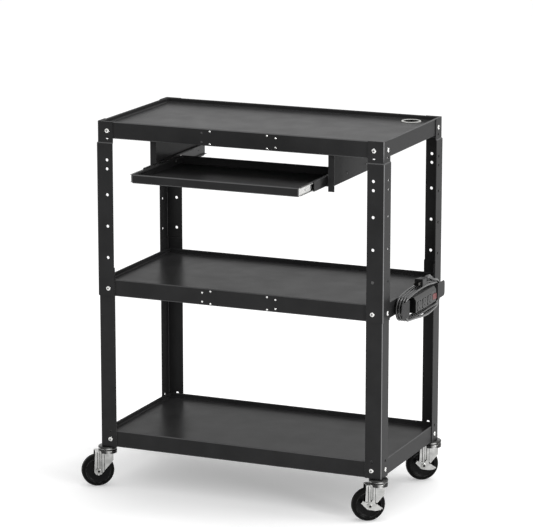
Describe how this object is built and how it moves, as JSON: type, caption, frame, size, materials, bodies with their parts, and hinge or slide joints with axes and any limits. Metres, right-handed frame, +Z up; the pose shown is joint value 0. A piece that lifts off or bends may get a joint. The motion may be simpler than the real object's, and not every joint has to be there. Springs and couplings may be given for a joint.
{
  "type": "utility cart",
  "caption": "Three-shelf steel utility cart on swivel casters, with a sliding keyboard tray, bolt-together perforated legs and a side power strip with its cord wound on a bracket.",
  "frame": {"origin": "on the floor under the middle of the cart's bounding box, with the tray out as pictured and without the free cord", "axes": "+Z up, +X to the cart's right seen from its keyboard tray side, +Y from the tray side to the back"},
  "size_m": [0.8926, 0.5804, 0.989],
  "materials": {
    "powder_coat": "black satin powder coat on sheet steel",
    "zinc": "bright zinc plated pressed steel",
    "dark_steel": "black plated slide steel",
    "tyre_rubber": "matt black rubber",
    "nylon": "black moulded nylon",
    "light_plastic": "light grey moulded plastic",
    "grey_plastic": "grey moulded plastic",
    "dark_plastic": "dark grey moulded plastic",
    "red_plastic": "red translucent plastic, shown solid",
    "cord_vinyl": "black vinyl cord jacket"
  },
  "bodies": {
    "cart": {"top_shelf": "powder_coat", "middle_shelf": "powder_coat", "bottom_shelf": "powder_coat", "top_shelf_stiffener_left": "powder_coat", "top_shelf_stiffener_right": "powder_coat", "middle_shelf_stiffener_left": "powder_coat", "middle_shelf_stiffener_right": "powder_coat", "upper_leg_front_right": "powder_coat", "upper_leg_back_right": "powder_coat", "upper_leg_back_left": "powder_coat", "upper_leg_front_left": "powder_coat", "lower_leg_front_right": "powder_coat", "lower_leg_back_right": "powder_coat", "lower_leg_back_left": "powder_coat", "lower_leg_front_left": "powder_coat", "cable_grommet": "light_plastic", "caster_front_right_swivel_head": "zinc", "caster_back_right_swivel_head": "zinc", "caster_back_left_swivel_head": "zinc", "caster_front_left_swivel_head": "zinc", "caster_front_right_corner_plate": "zinc", "caster_back_right_corner_plate": "zinc", "caster_back_left_corner_plate": "zinc", "caster_front_left_corner_plate": "zinc", "tray_hanger_right": "powder_coat", "tray_hanger_left": "powder_coat", "slide_outer_right": "dark_steel", "slide_outer_left": "dark_steel", "cord_winder_bracket": "powder_coat", "power_strip_housing": "grey_plastic", "outlet_1": "dark_plastic", "outlet_2": "dark_plastic", "outlet_3": "dark_plastic", "cord_strain_relief": "cord_vinyl", "power_cord": "cord_vinyl", "cord_plug": "cord_vinyl"},
    "swivel_front_right": {"caster_front_right_fork": "zinc", "caster_front_right_axle": "zinc"},
    "swivel_back_right": {"caster_back_right_fork": "zinc", "caster_back_right_axle": "zinc"},
    "swivel_back_left": {"caster_back_left_fork": "zinc", "caster_back_left_axle": "zinc"},
    "swivel_front_left": {"caster_front_left_fork": "zinc", "caster_front_left_axle": "zinc"},
    "wheel_front_right": {"caster_front_right_tyre": "tyre_rubber", "caster_front_right_core": "nylon"},
    "wheel_back_right": {"caster_back_right_tyre": "tyre_rubber", "caster_back_right_core": "nylon"},
    "wheel_back_left": {"caster_back_left_tyre": "tyre_rubber", "caster_back_left_core": "nylon"},
    "wheel_front_left": {"caster_front_left_tyre": "tyre_rubber", "caster_front_left_core": "nylon"},
    "pedal_front_right": {"brake_pedal_front_right": "zinc"},
    "pedal_back_right": {"brake_pedal_back_right": "zinc"},
    "tray": {"keyboard_tray": "powder_coat", "slide_inner_right": "zinc", "slide_inner_left": "zinc"},
    "slide_right": {"slide_middle_right": "dark_steel"},
    "slide_left": {"slide_middle_left": "dark_steel"},
    "rocker": {"rocker_switch": "red_plastic"}
  },
  "joints": [
    {"name": "swivel_front_right_turn", "type": "hinge", "parent": "cart", "child": "swivel_front_right", "pos_m": [0.39245, -0.1315, 0], "axis": [0, 0, 1], "continuous": true},
    {"name": "swivel_back_right_turn", "type": "hinge", "parent": "cart", "child": "swivel_back_right", "pos_m": [0.39245, 0.2645, 0], "axis": [0, 0, 1], "continuous": true},
    {"name": "swivel_back_left_turn", "type": "hinge", "parent": "cart", "child": "swivel_back_left", "pos_m": [-0.38355, 0.2645, 0], "axis": [0, 0, 1], "continuous": true},
    {"name": "swivel_front_left_turn", "type": "hinge", "parent": "cart", "child": "swivel_front_left", "pos_m": [-0.38355, -0.1315, 0], "axis": [0, 0, 1], "continuous": true},
    {"name": "wheel_front_right_roll", "type": "hinge", "parent": "swivel_front_right", "child": "wheel_front_right", "pos_m": [0.3702, -0.14679, 0.044], "axis": [-0.5664, 0.8241, 0], "continuous": true},
    {"name": "wheel_back_right_roll", "type": "hinge", "parent": "swivel_back_right", "child": "wheel_back_right", "pos_m": [0.3702, 0.24921, 0.044], "axis": [-0.5664, 0.8241, 0], "continuous": true},
    {"name": "wheel_back_left_roll", "type": "hinge", "parent": "swivel_back_left", "child": "wheel_back_left", "pos_m": [-0.4058, 0.24921, 0.044], "axis": [-0.5664, 0.8241, 0], "continuous": true},
    {"name": "wheel_front_left_roll", "type": "hinge", "parent": "swivel_front_left", "child": "wheel_front_left", "pos_m": [-0.4058, -0.14679, 0.044], "axis": [-0.5664, 0.8241, 0], "continuous": true},
    {"name": "brake_front_right_press", "type": "hinge", "parent": "swivel_front_right", "child": "pedal_front_right", "pos_m": [0.3702, -0.14679, 0.044], "axis": [-0.5664, 0.8241, 0], "range_deg": [0, 18]},
    {"name": "brake_back_right_press", "type": "hinge", "parent": "swivel_back_right", "child": "pedal_back_right", "pos_m": [0.3702, 0.24921, 0.044], "axis": [-0.5664, 0.8241, 0], "range_deg": [0, 18]},
    {"name": "tray_slide", "type": "slide", "parent": "cart", "child": "tray", "axis": [0, -1, 0], "range_m": [-0.167, 0.123]},
    {"name": "slide_right_travel", "type": "slide", "parent": "cart", "child": "slide_right", "axis": [0, -1, 0], "range_m": [-0.0835, 0.0615]},
    {"name": "slide_left_travel", "type": "slide", "parent": "cart", "child": "slide_left", "axis": [0, -1, 0], "range_m": [-0.0835, 0.0615]},
    {"name": "rocker_turn", "type": "hinge", "parent": "cart", "child": "rocker", "pos_m": [0.44255, 0.1275, 0.53925], "axis": [0, 0, 1], "range_deg": [0, 14]}
  ],
  "couplings": [
    {"joint": "slide_right_travel", "follows": "tray_slide", "ratio": 0.5},
    {"joint": "slide_left_travel", "follows": "tray_slide", "ratio": 0.5}
  ]
}
